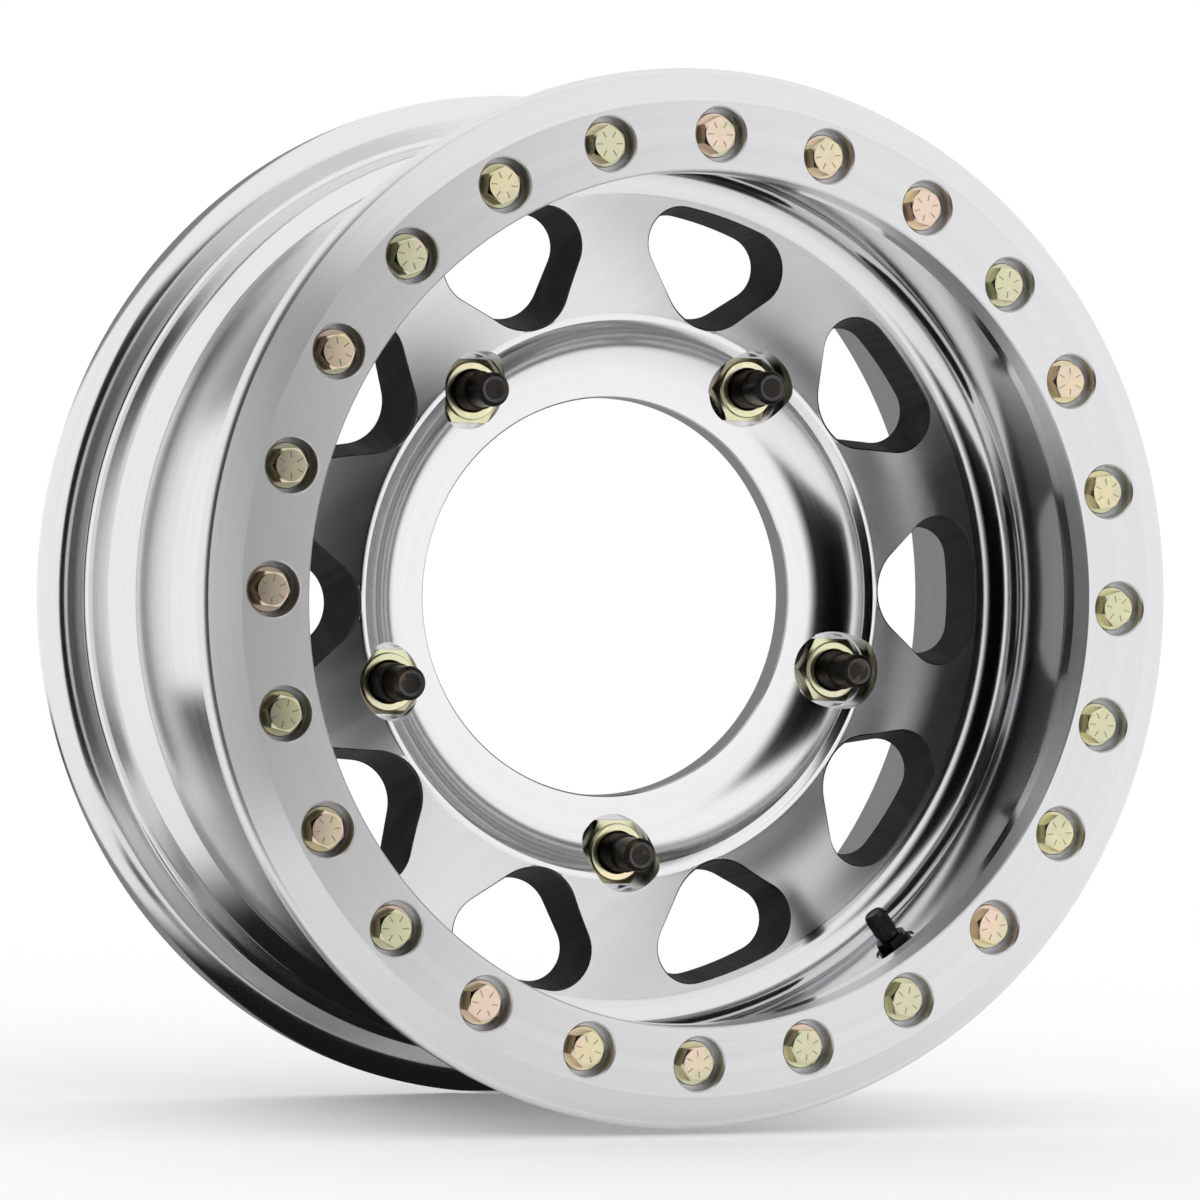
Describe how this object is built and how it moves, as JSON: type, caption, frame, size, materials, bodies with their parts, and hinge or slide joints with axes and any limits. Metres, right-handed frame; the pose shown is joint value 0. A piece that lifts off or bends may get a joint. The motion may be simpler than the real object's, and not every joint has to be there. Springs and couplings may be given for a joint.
{
  "type": "beadlock wheel",
  "caption": "Off-road car wheel: one-piece forged barrel and windowed disc with a large hub bore, a bolted bead-clamping ring, lug studs with nuts, and a tyre valve.",
  "frame": {"origin": "centre of the hub bore on the mounting face", "axes": "+Y along the wheel's axis towards the car, so the outer face looks along -Y; +Z towards the topmost clamp bolt; the wheel turns about +Y"},
  "size_m": [0.4157, 0.1995, 0.4158],
  "materials": {
    "forged_aluminium": "machined and polished",
    "ring_aluminium": "fine circular brushing",
    "yellow_zinc": "yellow chromate zinc plating",
    "insert_steel": "plain",
    "black_oxide": "black oxide, oiled",
    "black_brass": "black plating",
    "rubber": "matt",
    "core_brass": "brass",
    "red_seal": "plain",
    "spring_steel": "plain",
    "cap_plastic": "ribbed, slightly glossy"
  },
  "bodies": {
    "wheel": {"wheel": "forged_aluminium", "beadlock_ring": "ring_aluminium", "beadlock_bolts": "yellow_zinc", "beadlock_washers": "yellow_zinc", "thread_inserts": "insert_steel", "lug_studs": "black_oxide", "lug_nuts": "yellow_zinc", "valve_stem": "black_brass", "valve_grommet": "rubber", "valve_washer": "black_brass", "valve_nut": "black_brass", "valve_core_body": "core_brass", "valve_core_seal": "red_seal", "valve_core_spring": "spring_steel"},
    "core_pin": {"valve_core_pin": "core_brass", "valve_plunger_seal": "rubber"},
    "cap_seal": {"valve_cap_seal": "rubber"},
    "cap": {"valve_cap": "cap_plastic"}
  },
  "joints": [
    {"name": "pin_press", "type": "slide", "parent": "wheel", "child": "core_pin", "axis": [0.6198, 0, -0.7848], "range_m": [0, 0.0012], "stiffness_N_per_m": 400, "springref_m": -0.002, "deforming": ["valve_core_spring"]},
    {"name": "cap_lift", "type": "slide", "parent": "wheel", "child": "cap_seal", "axis": [-0.6198, 0, 0.7848], "range_m": [0, 0.00317]},
    {"name": "cap_turn", "type": "hinge", "parent": "cap_seal", "child": "cap", "pos_m": [0.10226, -0.0599, -0.12949], "axis": [-0.6198, 0, 0.7848], "range_deg": [0, 1440]}
  ],
  "couplings": [
    {"joint": "cap_turn", "follows": "cap_lift", "rad_per_m": 7915.8}
  ]
}
